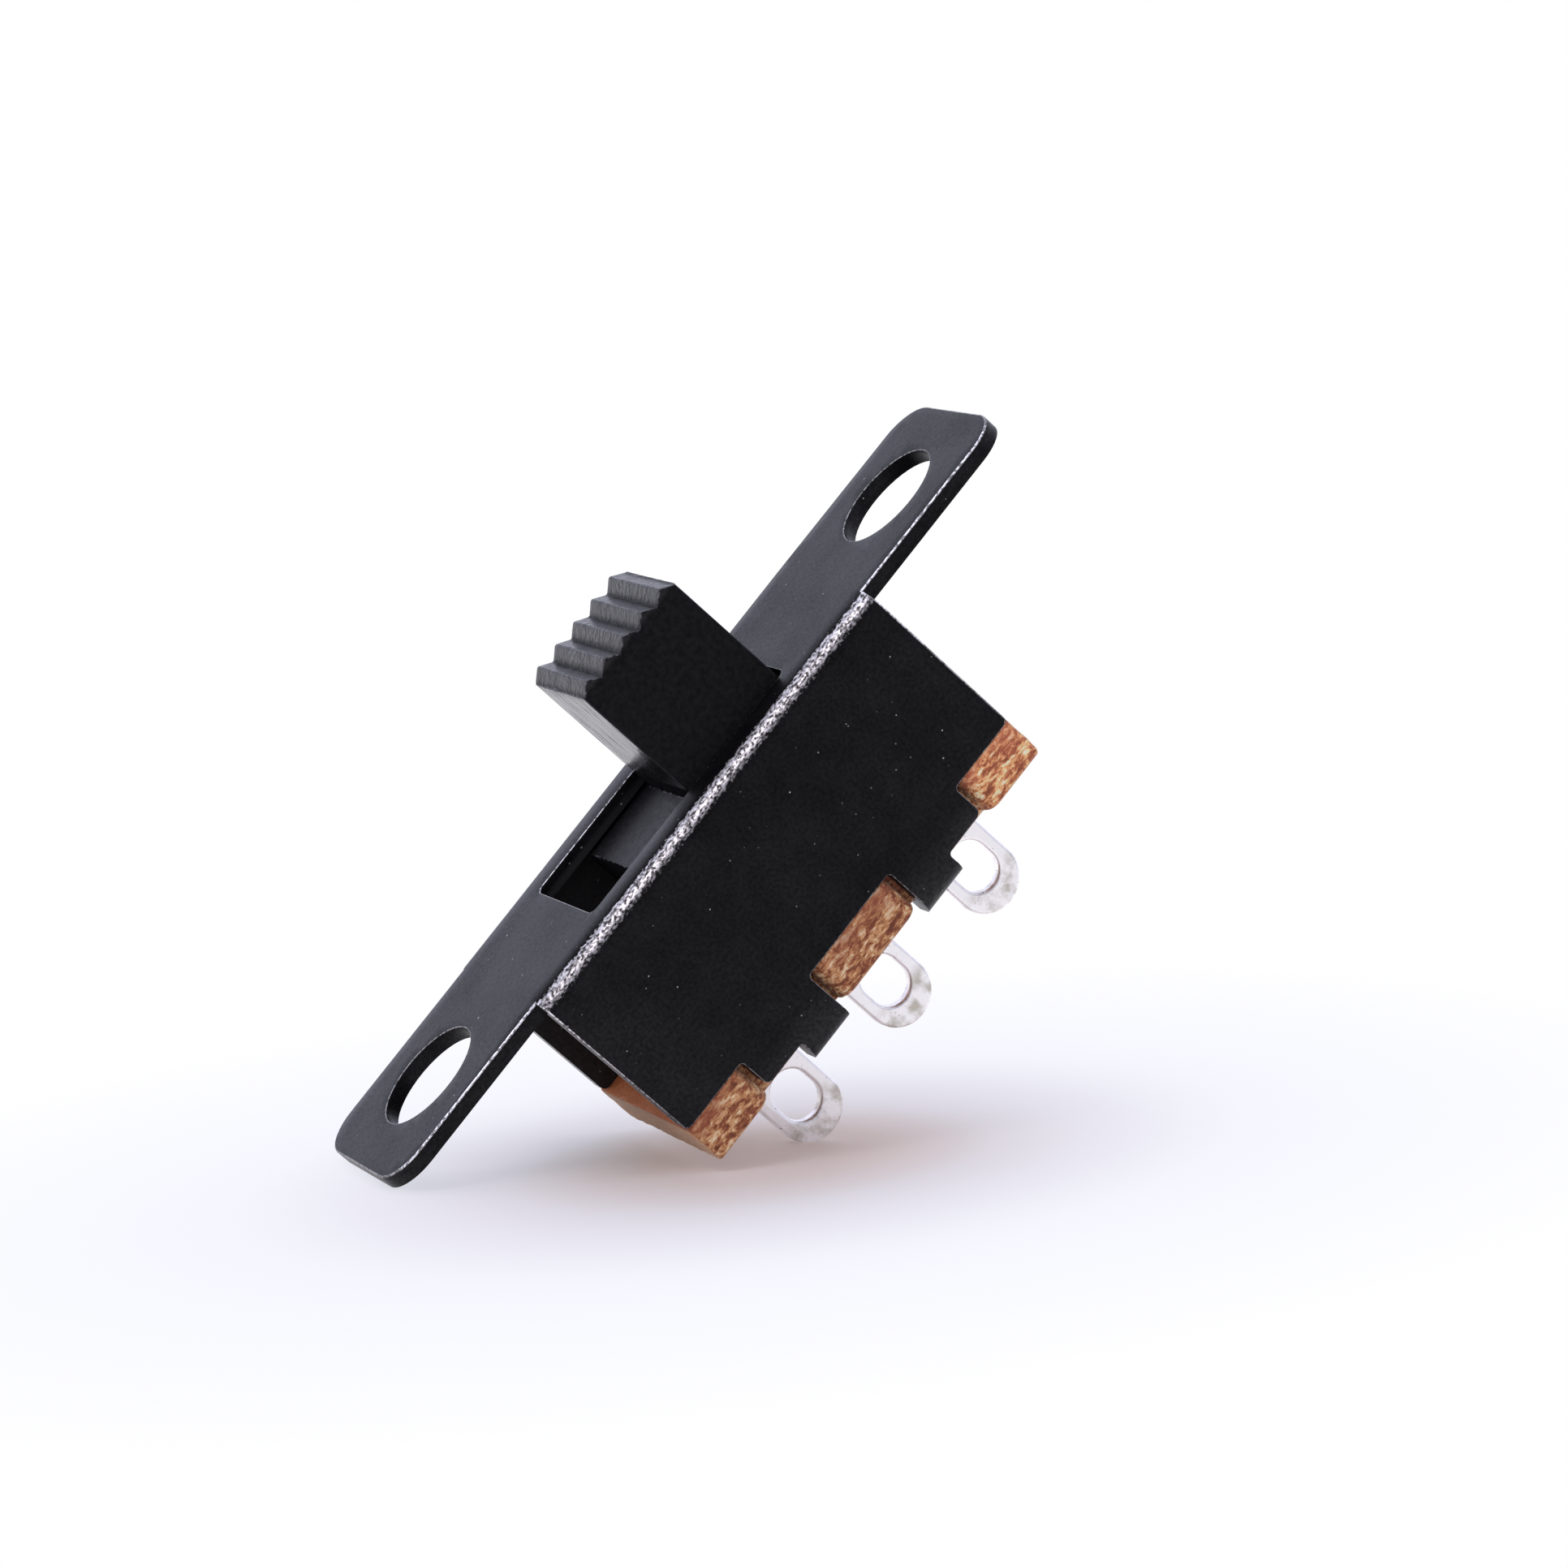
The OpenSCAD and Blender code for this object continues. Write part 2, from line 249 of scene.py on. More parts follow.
def black_coated_steel(looks, worn_highlit_edge):
    """Cold-rolled steel with a black electrocoat, baked on after the sheet was blanked."""
    # The baked coat is a dark, half-matt film with a fine grain. It greys at a low angle, and
    # bare steel shines through along the folds and the outer edges, where the film is thin. The bare
    # steel lies where their highlights fall, so it is partly wear and partly a painted highlight.
    material, add = new_material("worn_highlit_steel_edge" if worn_highlit_edge else "black_coated_steel")
    place = add("ShaderNodeTexCoord").outputs["Object"]
    axes = add("ShaderNodeSeparateXYZ", {"Vector": place})
    across = add("ShaderNodeMath", {0: axes.outputs["Y"]}, operation="ABSOLUTE")
    along = add("ShaderNodeMath", {0: axes.outputs["X"]}, operation="ABSOLUTE")
    # Film grain of 0.08 mm over waves of 0.6 mm.
    grain = add("ShaderNodeTexNoise", {"Vector": place, "Scale": per_mm(0.08), "Detail": 3.0})
    waves = add("ShaderNodeTexNoise", {"Vector": place, "Scale": per_mm(0.6), "Detail": 3.0})
    uneven = add("ShaderNodeMapRange", {"Value": waves, "From Min": 0.35, "From Max": 0.65})
    tone = add(
        "ShaderNodeMix",
        {0: uneven, 6: linear(looks.coat_dark), 7: linear(looks.coat_light)},
        data_type="RGBA",
    )
    # Inside the channel the coat is painted paler, as painted fill light reaching into it.
    inside = add("ShaderNodeMapRange", {"Value": across, "From Min": 2.3 * MM, "From Max": 2.2 * MM})
    on_wall = add(
        "ShaderNodeMapRange",
        {"Value": axes.outputs["Z"], "From Min": -0.15 * MM, "From Max": -0.25 * MM},
    )
    below_plate = add("ShaderNodeMath", {0: inside, 1: on_wall}, operation="MULTIPLY")
    on_ear = add("ShaderNodeMath", {0: along, 1: WALL_END}, operation="GREATER_THAN")
    in_channel = add(
        "ShaderNodeMath", {0: below_plate, 1: on_ear}, operation="SUBTRACT", use_clamp=True
    )
    painted_fill = add(
        "ShaderNodeMix", {0: in_channel, 6: tone, 7: linear(looks.channel_painted_fill)}, data_type="RGBA"
    )
    dust = dust_specks(add, place)
    dusted = add("ShaderNodeMix", {0: dust, 6: painted_fill, 7: linear("#b4b0b2")}, data_type="RGBA")
    # Streaks of bare steel and painted highlight, 0.08 mm long and 0.05 mm wide, drawn out along the
    # fold.
    drawn = add(
        "ShaderNodeMapping", {"Vector": place, "Scale": (per_mm(0.08), per_mm(0.05), per_mm(0.05))}
    )
    streak = add("ShaderNodeTexNoise", {"Vector": drawn, "Scale": 1.0, "Detail": 3.0})
    if worn_highlit_edge:
        bare_and_highlit = edge_wear_and_highlight(add, across, along, axes, streak)
    else:
        bare_and_highlit = fold_wear_and_highlight(add, across, along, axes, streak)
    # Bare steel, partly wear and partly painted highlight, over the dusted coat.
    colour = add(
        "ShaderNodeMix",
        {0: bare_and_highlit, 6: dusted, 7: linear(looks.bare_edge_and_highlight if worn_highlit_edge else looks.bare_steel_and_highlight)},
        data_type="RGBA",
    )
    rough = add(
        "ShaderNodeMapRange",
        {"Value": grain, "To Min": looks.coat_roughness - 0.05, "To Max": looks.coat_roughness + 0.08},
    )
    # Handling leaves the film duller in patches 2 mm wide. It is dulled towards the fold at -Y as a
    # painted shadow line, glossier towards the rim at +Y as a painted reflection, and the grain makes
    # it uneven.
    patches = add("ShaderNodeTexNoise", {"Vector": place, "Scale": per_mm(2), "Detail": 3.0})
    gloss = add(
        "ShaderNodeMapRange",
        {"Value": patches, "From Min": 0.35, "From Max": 0.6, "To Min": 0.36, "To Max": 0.52},
    )
    painted_fold_shadow = add(
        "ShaderNodeMapRange",
        {
            "Value": axes.outputs["Y"],
            "From Min": -1.75 * MM,
            "From Max": -2.14 * MM,
            "To Min": 1.0,
            "To Max": 0.3,
        },
    )
    painted_rim_reflection = add(
        "ShaderNodeMapRange",
        {
            "Value": axes.outputs["Y"],
            "From Min": 1.75 * MM,
            "From Max": 2.14 * MM,
            "To Min": 1.0,
            "To Max": 1.8,
        },
    )
    level = add("ShaderNodeMath", {0: gloss, 1: painted_fold_shadow}, operation="MULTIPLY")
    elsewhere = add("ShaderNodeMath", {0: on_wall, 1: on_ear}, operation="MAXIMUM")
    film = add("ShaderNodeMix", {0: elsewhere, 2: level, 3: gloss})
    # The walls grow duller towards +X, and the lower ends of their tabs are glossier, a painted
    # highlight.
    towards_end = add(
        "ShaderNodeMapRange",
        {
            "Value": axes.outputs["X"],
            "From Min": -4.5 * MM,
            "From Max": -2 * MM,
            "To Min": 1.0,
            "To Max": 0.72,
        },
    )
    towards_tab = add(
        "ShaderNodeMapRange",
        {
            "Value": axes.outputs["Z"],
            "From Min": -4.4 * MM,
            "From Max": -5.0 * MM,
            "To Min": towards_end,
            "To Max": 1.9,
        },
    )
    wall_share = add("ShaderNodeMapRange", {"Value": on_wall, "To Min": 1.0, "To Max": towards_tab})
    wall_film = add("ShaderNodeMath", {0: film, 1: wall_share}, operation="MULTIPLY")
    grainy = add(
        "ShaderNodeMapRange",
        {"Value": grain, "From Min": 0.35, "From Max": 0.65, "To Min": 0.65, "To Max": 1.35},
    )
    rimmed_film = add("ShaderNodeMath", {0: wall_film, 1: painted_rim_reflection}, operation="MULTIPLY")
    grainy_film = add("ShaderNodeMath", {0: rimmed_film, 1: grainy}, operation="MULTIPLY")
    ripple = add("ShaderNodeBump", {"Height": waves, "Strength": 0.5, "Distance": 0.012 * MM})
    bump = add(
        "ShaderNodeBump", {"Height": grain, "Strength": 0.45, "Distance": 0.006 * MM, "Normal": ripple}
    )
    shader = add(
        "ShaderNodeBsdfPrincipled",
        {
            "Base Color": colour,
            "Metallic": bare_and_highlit,
            "Roughness": rough,
            "IOR": 1.25,
            "Specular IOR Level": grainy_film,
            "Normal": bump,
        },
    )
    add("ShaderNodeOutputMaterial", {"Surface": shader})
    return material


def dust_specks(add, place):
    """Dust in a film: how bright the speck is, from none to a whole one."""
    # One speck at most in each cell of 0.2 mm, 0.01 to 0.05 mm across. A third of the cells
    # have none, and few specks are bright.
    cells = add("ShaderNodeTexVoronoi", {"Vector": place, "Scale": per_mm(0.2)})
    lot = add("ShaderNodeSeparateColor", {"Color": cells.outputs["Color"]})
    radius = add("ShaderNodeMapRange", {"Value": lot.outputs["Green"], "To Min": 0.03, "To Max": 0.12})
    near = add("ShaderNodeMath", {0: cells.outputs["Distance"], 1: radius}, operation="LESS_THAN")
    strength = add(
        "ShaderNodeMapRange", {"Value": lot.outputs["Red"], "From Min": 0.35, "From Max": 1.0}
    )
    sharp = add("ShaderNodeMath", {0: strength, 1: 3.0}, operation="POWER")
    return add("ShaderNodeMath", {0: near, 1: sharp}, operation="MULTIPLY")


def fold_wear_and_highlight(add, across, along, axes, streak):
    """How bare the steel is on the outer side of the two long folds: wear and painted highlight."""
    # The band lies on the middle of the fold's curve, where its highlight falls, and the streaks fray
    # both of its sides.
    fray = add("ShaderNodeMapRange", {"Value": streak, "To Min": -0.1 * MM, "To Max": 0.1 * MM})
    out = add("ShaderNodeMath", {0: across, 1: fray}, operation="ADD")
    up = add("ShaderNodeMath", {0: axes.outputs["Z"], 1: fray}, operation="ADD")
    upper_side = add("ShaderNodeMapRange", {"Value": out, "From Min": 2.2 * MM, "From Max": 2.235 * MM})
    lower_side = add(
        "ShaderNodeMapRange", {"Value": up, "From Min": -0.25 * MM, "From Max": -0.15 * MM}
    )
    wall = add("ShaderNodeMath", {0: along, 1: WALL_END + 0.01 * MM}, operation="LESS_THAN")
    band = add("ShaderNodeMath", {0: upper_side, 1: lower_side}, operation="MULTIPLY")
    place = add("ShaderNodeMath", {0: band, 1: wall}, operation="MULTIPLY")
    thin = add(
        "ShaderNodeMapRange", {"Value": streak, "From Min": 0.38, "From Max": 0.6, "To Min": 0.1}
    )
    return add("ShaderNodeMath", {0: place, 1: thin}, operation="MULTIPLY")


def edge_wear_and_highlight(add, across, along, axes, streak):
    """How bare the steel is on the blanked edges, most on the outer rim of the plate: wear and painted
    highlight.
    """
    side = add("ShaderNodeMapRange", {"Value": across, "From Min": 1.7 * MM, "From Max": 2.0 * MM})
    tip = add(
        "ShaderNodeMapRange",
        {"Value": along, "From Min": 9.3 * MM, "From Max": 9.5 * MM, "To Max": 0.3},
    )
    slot = add(
        "ShaderNodeMapRange",
        {"Value": along, "From Min": 3.2 * MM, "From Max": 3.0 * MM, "To Min": 0.45, "To Max": 0.8},
    )
    # The walls' edges, lower down, are less bare and less brightly highlit.
    low = add(
        "ShaderNodeMapRange",
        {"Value": axes.outputs["Z"], "From Min": -3.6 * MM, "From Max": FOLD_FOOT, "To Min": 0.3},
    )
    rim = add("ShaderNodeMath", {0: side, 1: tip}, operation="MAXIMUM")
    any_rim = add("ShaderNodeMath", {0: rim, 1: slot}, operation="MAXIMUM")
    place = add("ShaderNodeMath", {0: any_rim, 1: low}, operation="MULTIPLY")
    thin = add(
        "ShaderNodeMapRange", {"Value": streak, "From Min": 0.4, "From Max": 0.55, "To Min": 0.22}
    )
    return add("ShaderNodeMath", {0: place, 1: thin}, operation="MULTIPLY")


def phenolic_paper(looks):
    """Paper sheets pressed with phenolic resin, punched to shape."""
    # The pressed faces are orange-brown and half smooth. The punched edge is torn across its
    # paper layers: flakes of pale fibre with dark resin between, redder where it was sheared.
    material, add = new_material("phenolic_paper")
    coords = add("ShaderNodeTexCoord")
    place = coords.outputs["Object"]
    axes = add("ShaderNodeSeparateXYZ", {"Vector": place})
    # Flakes 0.24 mm long and 0.11 mm thick.
    drawn = add(
        "ShaderNodeMapping", {"Vector": place, "Scale": (per_mm(0.24), per_mm(0.11), per_mm(0.11))}
    )
    flakes = add(
        "ShaderNodeTexNoise",
        {"Vector": drawn, "Scale": 1.0, "Detail": 5.0, "Roughness": 0.66, "Distortion": 0.35},
    )
    cloud = add("ShaderNodeTexNoise", {"Vector": place, "Scale": per_mm(0.9), "Detail": 2.0})
    torn = add("ShaderNodeValToRGB", {"Fac": flakes})
    ramp = torn.color_ramp
    ramp.elements[0].position = 0.33
    ramp.elements[0].color = linear("#6e3d28")
    ramp.elements[1].position = 0.65
    ramp.elements[1].color = linear("#fce8c4")
    ramp.elements.new(0.44).color = linear(looks.board_dark)
    ramp.elements.new(0.55).color = linear(looks.board_pale)
    # The upper part of the edge is the sheared one.
    drift = add(
        "ShaderNodeMapRange",
        {"Value": cloud, "From Min": 0.3, "From Max": 0.7, "To Min": -0.35 * MM, "To Max": 0.35 * MM},
    )
    height = add("ShaderNodeMath", {0: axes.outputs["Z"], 1: drift}, operation="ADD")
    sheared = add(
        "ShaderNodeMapRange",
        {"Value": height, "From Min": -4.6 * MM, "From Max": -4.15 * MM, "To Max": 0.6},
        interpolation_type="SMOOTHSTEP",
    )
    edge = add("ShaderNodeMix", {0: sheared, 6: torn, 7: linear("#9e5a42")}, data_type="RGBA")
    # The edge is paler towards +X.
    end = add(
        "ShaderNodeMapRange", {"Value": axes.outputs["X"], "From Min": 2 * MM, "From Max": 4 * MM}
    )
    paler = add(
        "ShaderNodeMix", {0: end, 6: edge, 7: linear("#a9a9a9")}, data_type="RGBA", blend_type="DODGE"
    )
    # The board's two ends are painted pale, a painted reflection of the white card at a low angle.
    upright = add("ShaderNodeSeparateXYZ", {"Vector": coords.outputs["Normal"]})
    endways = add("ShaderNodeMath", {0: upright.outputs["X"]}, operation="ABSOLUTE")
    off_middle = add("ShaderNodeMath", {0: axes.outputs["X"]}, operation="ABSOLUTE")
    at_end = add(
        "ShaderNodeMath",
        {0: off_middle, 1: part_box("base_board")[1].x - 0.3 * MM},
        operation="GREATER_THAN",
    )
    turned = add("ShaderNodeMath", {0: endways, 1: at_end}, operation="MULTIPLY")
    pale_end_reflection = add(
        "ShaderNodeMapRange", {"Value": turned, "From Min": 0.6, "From Max": 0.9, "To Max": 0.55}
    )
    ends = add("ShaderNodeMix", {0: pale_end_reflection, 6: paler, 7: linear("#f4cfa8")}, data_type="RGBA")
    flat_tone = add(
        "ShaderNodeMix", {0: cloud, 6: linear("#ea7c46"), 7: linear("#ffa468")}, data_type="RGBA"
    )
    # The underside is soiled with flux, more in some places than in others.
    flux = add(
        "ShaderNodeMapRange",
        {"Value": cloud, "From Min": 0.38, "From Max": 0.62, "To Min": 0.5, "To Max": 0.9},
    )
    under = add(
        "ShaderNodeMapRange",
        {"Value": upright.outputs["Z"], "From Min": -0.8, "From Max": -0.95, "To Max": flux},
    )
    soiled = add("ShaderNodeMix", {0: under, 6: flat_tone, 7: linear("#80684a")}, data_type="RGBA")
    facing = add("ShaderNodeMath", {0: upright.outputs["Z"]}, operation="ABSOLUTE")
    pressed = add("ShaderNodeMapRange", {"Value": facing, "From Min": 0.75, "From Max": 0.95})
    colour = add("ShaderNodeMix", {0: pressed, 6: ends, 7: soiled}, data_type="RGBA")
    fuzz = add("ShaderNodeMapRange", {"Value": pressed, "To Min": 0.38, "To Max": 0})
    rough = add(
        "ShaderNodeMapRange",
        {"Value": flakes, "From Min": 0.4, "From Max": 0.65, "To Min": 0.42, "To Max": 0.7},
    )
    gloss = add("ShaderNodeMapRange", {"Value": pressed, "To Min": 0.2, "To Max": 0.5})
    bump = add("ShaderNodeBump", {"Height": flakes, "Strength": 0.9, "Distance": 0.07 * MM})
    shader = add(
        "ShaderNodeBsdfPrincipled",
        {
            "Base Color": colour,
            "Roughness": rough,
            "IOR": 1.5,
            "Specular IOR Level": gloss,
            "Sheen Weight": fuzz,
            "Sheen Roughness": 0.4,
            "Sheen Tint": linear("#ffe6d0"),
            "Normal": bump,
        },
    )
    add("ShaderNodeOutputMaterial", {"Surface": shader})
    return material


def tinned_brass(looks):
    """Stamped brass strip with a bright tin plating."""
    # Tin plating is a soft, pale metal mirror: it takes the white around it, with faint waves
    # of the plating bath, a few dull specks, and olive stains.
    material, add = new_material("tinned_brass")
    place = add("ShaderNodeTexCoord").outputs["Object"]
    axes = add("ShaderNodeSeparateXYZ", {"Vector": place})
    bath = add("ShaderNodeTexNoise", {"Vector": place, "Scale": per_mm(0.35), "Detail": 3.0})
    fine = add("ShaderNodeTexNoise", {"Vector": place, "Scale": per_mm(0.05), "Detail": 2.0})
    blots = add("ShaderNodeTexNoise", {"Vector": place, "Scale": per_mm(0.3), "Detail": 4.0})
    tone = add("ShaderNodeMix", {0: bath, 6: linear("#ece8e6"), 7: linear(looks.tin)}, data_type="RGBA")
    dull = add("ShaderNodeMapRange", {"Value": fine, "From Min": 0.66, "From Max": 0.74})
    specked = add("ShaderNodeMix", {0: dull, 6: tone, 7: linear("#6f675c")}, data_type="RGBA")
    # The stains lie towards the lug's end.
    foot = add(
        "ShaderNodeMapRange",
        {"Value": axes.outputs["Z"], "From Min": -6.75 * MM, "From Max": -7.15 * MM},
        interpolation_type="SMOOTHSTEP",
    )
    blot = add(
        "ShaderNodeMapRange", {"Value": blots, "From Min": 0.42, "From Max": 0.66, "To Max": 0.62}
    )
    stain = add("ShaderNodeMath", {0: foot, 1: blot}, operation="MULTIPLY")
    stained = add("ShaderNodeMix", {0: stain, 6: specked, 7: linear("#8f8468")}, data_type="RGBA")
    rough = add("ShaderNodeMapRange", {"Value": bath, "To Min": 0.28, "To Max": 0.42})
    bump = add("ShaderNodeBump", {"Height": bath, "Strength": 0.25, "Distance": 0.02 * MM})
    shader = add(
        "ShaderNodeBsdfPrincipled",
        {"Base Color": stained, "Metallic": 1.0, "Roughness": rough, "Normal": bump},
    )
    add("ShaderNodeOutputMaterial", {"Surface": shader})
    return material


def black_polyamide(looks, rubbed_edge):
    """Black polyamide, injection moulded in a finely eroded mould."""
    # Moulded polyamide is a deep black with a soft sheen. Drag lines from the mould run up its
    # ends, it greys at a low angle, and its edges carry pale rubs.
    material, add = new_material("rubbed_polyamide_edge" if rubbed_edge else "black_polyamide")
    coords = add("ShaderNodeTexCoord")
    place = coords.outputs["Object"]
    axes = add("ShaderNodeSeparateXYZ", {"Vector": place})
    turned = add("ShaderNodeSeparateXYZ", {"Vector": coords.outputs["Normal"]})
    endways = add("ShaderNodeMath", {0: turned.outputs["X"]}, operation="ABSOLUTE")
    # The flanks of the ridges face endways too, and don't count as the knob's ends.
    end_faces = add("ShaderNodeMapRange", {"Value": endways, "From Min": 0.3, "From Max": 0.6})
    ridges = add(
        "ShaderNodeMapRange", {"Value": axes.outputs["Z"], "From Min": 2.5 * MM, "From Max": 2.8 * MM}
    )
    low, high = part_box("slider")
    from_middle = add(
        "ShaderNodeMath", {0: axes.outputs["X"], 1: (low.x + high.x) / 2}, operation="SUBTRACT"
    )
    off_middle = add("ShaderNodeMath", {0: from_middle}, operation="ABSOLUTE")
    between = add("ShaderNodeMath", {0: off_middle, 1: 1.45 * MM}, operation="LESS_THAN")
    on_ridges = add("ShaderNodeMath", {0: ridges, 1: between}, operation="MULTIPLY")
    on_ends = add(
        "ShaderNodeMath", {0: end_faces, 1: on_ridges}, operation="SUBTRACT", use_clamp=True
    )
    skin = add(
        "ShaderNodeTexNoise", {"Vector": place, "Scale": per_mm(0.13), "Detail": 5.0, "Roughness": 0.6}
    )
    # Drag lines 0.9 mm long and 0.12 mm wide.
    drawn = add(
        "ShaderNodeMapping", {"Vector": place, "Scale": (per_mm(0.12), per_mm(0.12), per_mm(0.9))}
    )
    drag = add("ShaderNodeTexNoise", {"Vector": drawn, "Scale": 1.0, "Detail": 4.0})
    rub = add(
        "ShaderNodeMapRange",
        {"Value": skin, "From Min": 0.5, "From Max": 0.62, "To Max": 0.65 if rubbed_edge else 0.0},
    )
    mottled = add("ShaderNodeMapRange", {"Value": skin, "From Min": 0.35, "From Max": 0.65})
    tone = add(
        "ShaderNodeMix", {0: mottled, 6: linear(looks.moulding), 7: linear("#202022")}, data_type="RGBA"
    )
    rubbed = add("ShaderNodeMix", {0: rub, 6: tone, 7: linear("#7c7c82")}, data_type="RGBA")
    knob = add("ShaderNodeMath", {0: axes.outputs["Z"], 1: 0.0}, operation="GREATER_THAN")
    # The carriage, which runs in the channel, is duller than the knob.
    drawn_rough = add(
        "ShaderNodeMapRange",
        {"Value": drag, "From Min": 0.3, "From Max": 0.7, "To Min": 0.12, "To Max": 0.26},
    )
    duller = add(
        "ShaderNodeMapRange",
        {"Value": axes.outputs["Z"], "From Min": -0.3 * MM, "From Max": 0, "To Min": 0.22, "To Max": 0},
    )
    rough = add("ShaderNodeMath", {0: drawn_rough, 1: duller}, operation="ADD")
    lines = add("ShaderNodeBump", {"Height": drag, "Strength": on_ends, "Distance": 0.006 * MM})
    coarse = add("ShaderNodeMapRange", {"Value": ridges, "To Min": 0.25, "To Max": 1.0})
    # The drag lines show most at a low angle.
    slant = add("ShaderNodeLayerWeight", {"Blend": 0.5})
    dulled = add(
        "ShaderNodeMapRange",
        {
            "Value": slant.outputs["Facing"],
            "From Min": 0.68,
            "From Max": 0.84,
            "To Min": 0.5,
            "To Max": 0.02,
        },
    )
    shine = add(
        "ShaderNodeMapRange",
        {"Value": drag, "From Min": 0.36, "From Max": 0.56, "To Min": dulled, "To Max": 0.8},
    )
    # Painted shade takes nearly all the gloss of the grooves between the ridges. The knob's long sides
    # below them have as little, and the carriage's ends have none.
    deep = add(
        "ShaderNodeMapRange",
        {"Value": axes.outputs["Z"], "From Min": high.z - 0.12 * MM, "From Max": high.z - 0.19 * MM},
    )
    groove = add("ShaderNodeMath", {0: between, 1: deep}, operation="MULTIPLY")
    painted_shade = add("ShaderNodeMath", {0: groove, 1: knob}, operation="MULTIPLY")
    end_shine = add("ShaderNodeMath", {0: shine, 1: knob}, operation="MULTIPLY")
    side_shine = add("ShaderNodeMix", {0: on_ends, 2: 0.6, 3: end_shine})
    film = add("ShaderNodeMix", {0: painted_shade, 2: side_shine, 3: 0.08})
    bump = add(
        "ShaderNodeBump", {"Height": skin, "Strength": coarse, "Distance": 0.03 * MM, "Normal": lines}
    )
    shader = add(
        "ShaderNodeBsdfPrincipled",
        {
            "Base Color": rubbed,
            "Roughness": rough,
            "IOR": 1.24,
            "Specular IOR Level": film,
            "Normal": bump,
        },
    )
    add("ShaderNodeOutputMaterial", {"Surface": shader})
    return material


def phosphor_bronze(looks):
    """Rolled phosphor bronze strip, bent to a spring."""
    # Rolled bronze is a warm metal with fine lines along the strip.
    material, add = new_material("phosphor_bronze")
    place = add("ShaderNodeTexCoord").outputs["Object"]
    # Rolling lines 0.02 mm apart, drawn 0.03 mm wide so that they show.
    drawn = add("ShaderNodeMapping", {"Vector": place, "Scale": (per_mm(2), per_mm(0.03), per_mm(0.2))})
    lines = add("ShaderNodeTexNoise", {"Vector": drawn, "Scale": 1.0, "Detail": 2.0})
    tone = add(
        "ShaderNodeMix", {0: lines, 6: linear("#a8703c"), 7: linear(looks.bronze)}, data_type="RGBA"
    )
    bump = add("ShaderNodeBump", {"Height": lines, "Strength": 0.2, "Distance": 0.003 * MM})
    shader = add(
        "ShaderNodeBsdfPrincipled",
        {"Base Color": tone, "Metallic": 1.0, "Roughness": 0.3, "Normal": bump},
    )
    add("ShaderNodeOutputMaterial", {"Surface": shader})
    return material


def white_card(stage):
    """Matt white card under the switch, fading to plain white far away."""
    # Card scatters nearly all the light, so it keeps the soft shadow and shows no mirror image.
    material, add = new_material("white_card")
    place = add("ShaderNodeTexCoord").outputs["Object"]
    # The painted shade lies where the board's edge and the left lug come close to the card.
    from_shade = add(
        "ShaderNodeVectorMath", {0: place, 1: (7.8 * MM, -1.3 * MM, 0)}, operation="SUBTRACT"
    )
    width = add("ShaderNodeVectorMath", {0: from_shade, 1: (1.37, -0.97, 0)}, operation="DOT_PRODUCT")
    depth = add("ShaderNodeVectorMath", {0: from_shade, 1: (0.21, 1.44, 0)}, operation="DOT_PRODUCT")
    shade = add("ShaderNodeCombineXYZ", {"X": width, "Y": depth})
    length = add("ShaderNodeVectorMath", {0: shade}, operation="LENGTH")
    far = add(
        "ShaderNodeMapRange",
        {"Value": length, "From Min": 1 * MM, "From Max": 17.3 * MM, "To Min": 0.22},
        interpolation_type="SMOOTHSTEP",
    )
    path = add("ShaderNodeLightPath")
    seen = add(
        "ShaderNodeMath",
        {0: path.outputs["Is Camera Ray"], 1: path.outputs["Is Glossy Ray"]},
        operation="MAXIMUM",
    )
    share = add("ShaderNodeMath", {0: far, 1: seen}, operation="MULTIPLY")
    tooth = add("ShaderNodeTexNoise", {"Vector": place, "Scale": per_mm(0.2), "Detail": 3.0})
    bump = add("ShaderNodeBump", {"Height": tooth, "Strength": 0.1, "Distance": 0.02 * MM})
    card = add(
        "ShaderNodeBsdfPrincipled",
        {"Base Color": linear(stage.card), "Roughness": 0.6, "Specular IOR Level": 0.2, "Normal": bump},
    )
    # A mirror image of the card is brighter behind the switch, towards +Y.
    axes = add("ShaderNodeSeparateXYZ", {"Vector": place})
    behind = add(
        "ShaderNodeMapRange",
        {"Value": axes.outputs["Y"], "From Min": 0, "From Max": 20 * MM, "To Min": 1.15, "To Max": 1.5},
    )
    level = add("ShaderNodeMix", {0: path.outputs["Is Glossy Ray"], 2: 1.0, 3: behind})
    # Close to the switch, the card is painted with some of the board's warm bounce light, and further
    # out with the cool colour of the painted shade.
    outwards = add("ShaderNodeMapRange", {"Value": length, "From Min": 0, "From Max": 32 * MM})
    shades = add("ShaderNodeValToRGB", {"Fac": outwards})
    ramp = shades.color_ramp
    ramp.elements[0].position = 0.1
    ramp.elements[0].color = linear("#e4d3cc")
    ramp.elements[1].position = 1.0
    ramp.elements[1].color = (1, 1, 1, 1)
    ramp.elements.new(0.23).color = linear("#f2f3ff")
    cool = add(
        "ShaderNodeMix",
        {0: path.outputs["Is Glossy Ray"], 6: shades, 7: linear("#f4f3fa")},
        data_type="RGBA",
    )
    # Near the switch this glow paints the shade into the lit card; far away it is plain white.
    white = add("ShaderNodeEmission", {"Color": cool, "Strength": level})
    mixed = add("ShaderNodeMixShader", {0: share, 1: card, 2: white})
    # From below, the card lets the view through.
    side = add("ShaderNodeNewGeometry")
    clear = add("ShaderNodeBsdfTransparent")
    under = add("ShaderNodeMixShader", {0: side.outputs["Backfacing"], 1: mixed, 2: clear})
    add("ShaderNodeOutputMaterial", {"Surface": under})
    return material


# Sizes and colours


